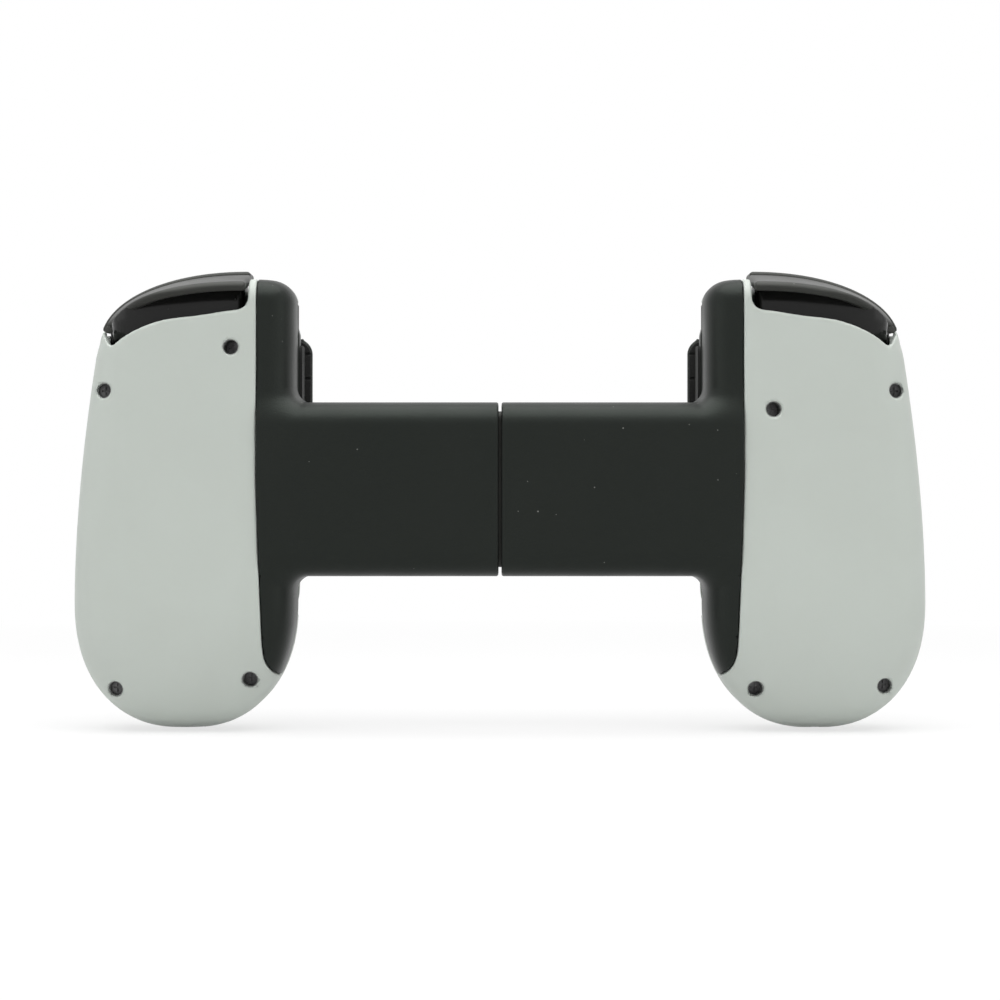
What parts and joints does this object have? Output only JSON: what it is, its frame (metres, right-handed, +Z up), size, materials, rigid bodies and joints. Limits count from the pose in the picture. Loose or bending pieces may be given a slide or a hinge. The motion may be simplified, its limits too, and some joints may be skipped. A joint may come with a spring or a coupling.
{
  "type": "mobile game controller",
  "caption": "Telescopic game controller that clamps a phone between two rounded grips, with thumbsticks, buttons, bumpers and triggers, joined by a sliding bridge.",
  "frame": {"origin": "middle of the flat front face of the bridge, on which the phone rests", "axes": "+X towards the player's left grip, +Y out of the player's side, +Z up"},
  "size_m": [0.176, 0.034, 0.0946],
  "materials": {
    "light_shell": "fine satin moulded, light grey-white",
    "black_shell": "fine matte moulded black",
    "dark_controls": "satin dark controls",
    "grip_rubber": "soft black rubber",
    "steel": "plain steel",
    "circuit_board": "solder mask",
    "silicone": "grey silicone",
    "flat_cable": "amber film"
  },
  "bodies": {
    "rail": {"centre_rail": "black_shell", "bridge_springs": "steel", "flex_cable": "flat_cable"},
    "left_grip": {"left_bridge_half": "black_shell", "left_back_shell": "light_shell", "left_front_shell": "light_shell", "left_phone_cradle": "black_shell", "left_lip_pad": "grip_rubber", "left_end_pad": "grip_rubber", "left_trigger_pin": "steel", "left_trigger_spring": "steel", "left_stick_base": "black_shell", "left_circuit_board": "circuit_board", "left_button_membrane": "silicone", "left_screws": "steel", "headphone_jack": "black_shell"},
    "right_grip": {"right_bridge_half": "black_shell", "right_back_shell": "light_shell", "right_front_shell": "light_shell", "right_phone_cradle": "black_shell", "right_lip_pad": "grip_rubber", "right_end_pad": "grip_rubber", "right_trigger_pin": "steel", "right_trigger_spring": "steel", "right_stick_base": "black_shell", "right_circuit_board": "circuit_board", "right_button_membrane": "silicone", "right_screws": "steel", "phone_plug": "steel", "charge_port": "steel"},
    "left_trigger": {"left_trigger": "dark_controls"},
    "left_bumper": {"left_bumper": "dark_controls"},
    "left_stick_carrier": {"left_stick_carrier": "black_shell"},
    "left_stick_yoke": {"left_stick_yoke": "steel"},
    "left_stick_cap": {"left_stick_cap": "grip_rubber"},
    "right_trigger": {"right_trigger": "dark_controls"},
    "right_bumper": {"right_bumper": "dark_controls"},
    "right_stick_carrier": {"right_stick_carrier": "black_shell"},
    "right_stick_yoke": {"right_stick_yoke": "steel"},
    "right_stick_cap": {"right_stick_cap": "grip_rubber"},
    "direction_pad": {"direction_pad": "dark_controls"},
    "pad_rocker": {"pad_rocker": "dark_controls"},
    "view_button": {"view_button": "dark_controls"},
    "capture_button": {"capture_button": "dark_controls"},
    "face_button_top": {"face_button_top": "dark_controls"},
    "face_button_bottom": {"face_button_bottom": "dark_controls"},
    "face_button_inner": {"face_button_inner": "dark_controls"},
    "face_button_outer": {"face_button_outer": "dark_controls"},
    "menu_button": {"menu_button": "dark_controls"},
    "home_button": {"home_button": "dark_controls"}
  },
  "joints": [
    {"name": "left_grip_slide", "type": "slide", "parent": "rail", "child": "left_grip", "axis": [1, 0, 0], "range_m": [0, 0.038], "stiffness_N_per_m": 120, "springref_m": -0.03, "deforming": ["bridge_springs", "flex_cable"]},
    {"name": "right_grip_slide", "type": "slide", "parent": "rail", "child": "right_grip", "axis": [-1, 0, 0], "range_m": [0, 0.038], "stiffness_N_per_m": 120, "springref_m": -0.03, "deforming": ["bridge_springs", "flex_cable"]},
    {"name": "left_trigger_hinge", "type": "hinge", "parent": "left_grip", "child": "left_trigger", "pos_m": [0.063, 0.003, 0.036], "axis": [1, 0, 0], "range_deg": [0, 10], "stiffness_Nm_per_rad": 0.1, "springref_deg": -5.73},
    {"name": "left_bumper_press", "type": "slide", "parent": "left_grip", "child": "left_bumper", "axis": [0, 0, -1], "range_m": [0, 0.0008], "stiffness_N_per_m": 800, "springref_m": -0.0008},
    {"name": "left_stick_press", "type": "slide", "parent": "left_grip", "child": "left_stick_carrier", "axis": [0, -1, 0], "range_m": [0, 0.0004], "stiffness_N_per_m": 3000, "springref_m": -0.0005},
    {"name": "left_stick_tilt_z", "type": "hinge", "parent": "left_stick_carrier", "child": "left_stick_yoke", "pos_m": [0.066, 0.004, 0.018], "axis": [1, 0, 0], "range_deg": [-18, 18], "stiffness_Nm_per_rad": 0.03},
    {"name": "left_stick_tilt_x", "type": "hinge", "parent": "left_stick_yoke", "child": "left_stick_cap", "pos_m": [0.066, 0.004, 0.018], "axis": [0, 0, 1], "range_deg": [-18, 18], "stiffness_Nm_per_rad": 0.03},
    {"name": "right_trigger_hinge", "type": "hinge", "parent": "right_grip", "child": "right_trigger", "pos_m": [-0.063, 0.003, 0.036], "axis": [1, 0, 0], "range_deg": [0, 10], "stiffness_Nm_per_rad": 0.1, "springref_deg": -5.73},
    {"name": "right_bumper_press", "type": "slide", "parent": "right_grip", "child": "right_bumper", "axis": [0, 0, -1], "range_m": [0, 0.0008], "stiffness_N_per_m": 800, "springref_m": -0.0008},
    {"name": "right_stick_press", "type": "slide", "parent": "right_grip", "child": "right_stick_carrier", "axis": [0, -1, 0], "range_m": [0, 0.0004], "stiffness_N_per_m": 3000, "springref_m": -0.0005},
    {"name": "right_stick_tilt_z", "type": "hinge", "parent": "right_stick_carrier", "child": "right_stick_yoke", "pos_m": [-0.065, 0.004, -0.012], "axis": [1, 0, 0], "range_deg": [-18, 18], "stiffness_Nm_per_rad": 0.03},
    {"name": "right_stick_tilt_x", "type": "hinge", "parent": "right_stick_yoke", "child": "right_stick_cap", "pos_m": [-0.065, 0.004, -0.012], "axis": [0, 0, 1], "range_deg": [-18, 18], "stiffness_Nm_per_rad": 0.03},
    {"name": "pad_tilt_z", "type": "hinge", "parent": "left_grip", "child": "pad_rocker", "pos_m": [0.0655, 0.0092, -0.012], "axis": [1, 0, 0], "range_deg": [-5, 5], "stiffness_Nm_per_rad": 0.08},
    {"name": "pad_tilt_x", "type": "hinge", "parent": "pad_rocker", "child": "direction_pad", "pos_m": [0.0655, 0.0092, -0.012], "axis": [0, 0, 1], "range_deg": [-5, 5], "stiffness_Nm_per_rad": 0.08},
    {"name": "view_button_press", "type": "slide", "parent": "left_grip", "child": "view_button", "axis": [0, -1, 0], "range_m": [0, 0.0004], "stiffness_N_per_m": 2500, "springref_m": -0.0004},
    {"name": "capture_button_press", "type": "slide", "parent": "left_grip", "child": "capture_button", "axis": [0, -1, 0], "range_m": [0, 0.0004], "stiffness_N_per_m": 2500, "springref_m": -0.0004},
    {"name": "menu_button_press", "type": "slide", "parent": "right_grip", "child": "menu_button", "axis": [0, -1, 0], "range_m": [0, 0.0004], "stiffness_N_per_m": 2500, "springref_m": -0.0004},
    {"name": "home_button_press", "type": "slide", "parent": "right_grip", "child": "home_button", "axis": [0, -1, 0], "range_m": [0, 0.0004], "stiffness_N_per_m": 2500, "springref_m": -0.0004},
    {"name": "face_button_top_press", "type": "slide", "parent": "right_grip", "child": "face_button_top", "axis": [0, -1, 0], "range_m": [0, 0.0013], "stiffness_N_per_m": 600, "springref_m": -0.0008},
    {"name": "face_button_bottom_press", "type": "slide", "parent": "right_grip", "child": "face_button_bottom", "axis": [0, -1, 0], "range_m": [0, 0.0013], "stiffness_N_per_m": 600, "springref_m": -0.0008},
    {"name": "face_button_inner_press", "type": "slide", "parent": "right_grip", "child": "face_button_inner", "axis": [0, -1, 0], "range_m": [0, 0.0013], "stiffness_N_per_m": 600, "springref_m": -0.0008},
    {"name": "face_button_outer_press", "type": "slide", "parent": "right_grip", "child": "face_button_outer", "axis": [0, -1, 0], "range_m": [0, 0.0013], "stiffness_N_per_m": 600, "springref_m": -0.0008}
  ],
  "couplings": [
    {"joint": "right_grip_slide", "follows": "left_grip_slide", "ratio": 1}
  ]
}
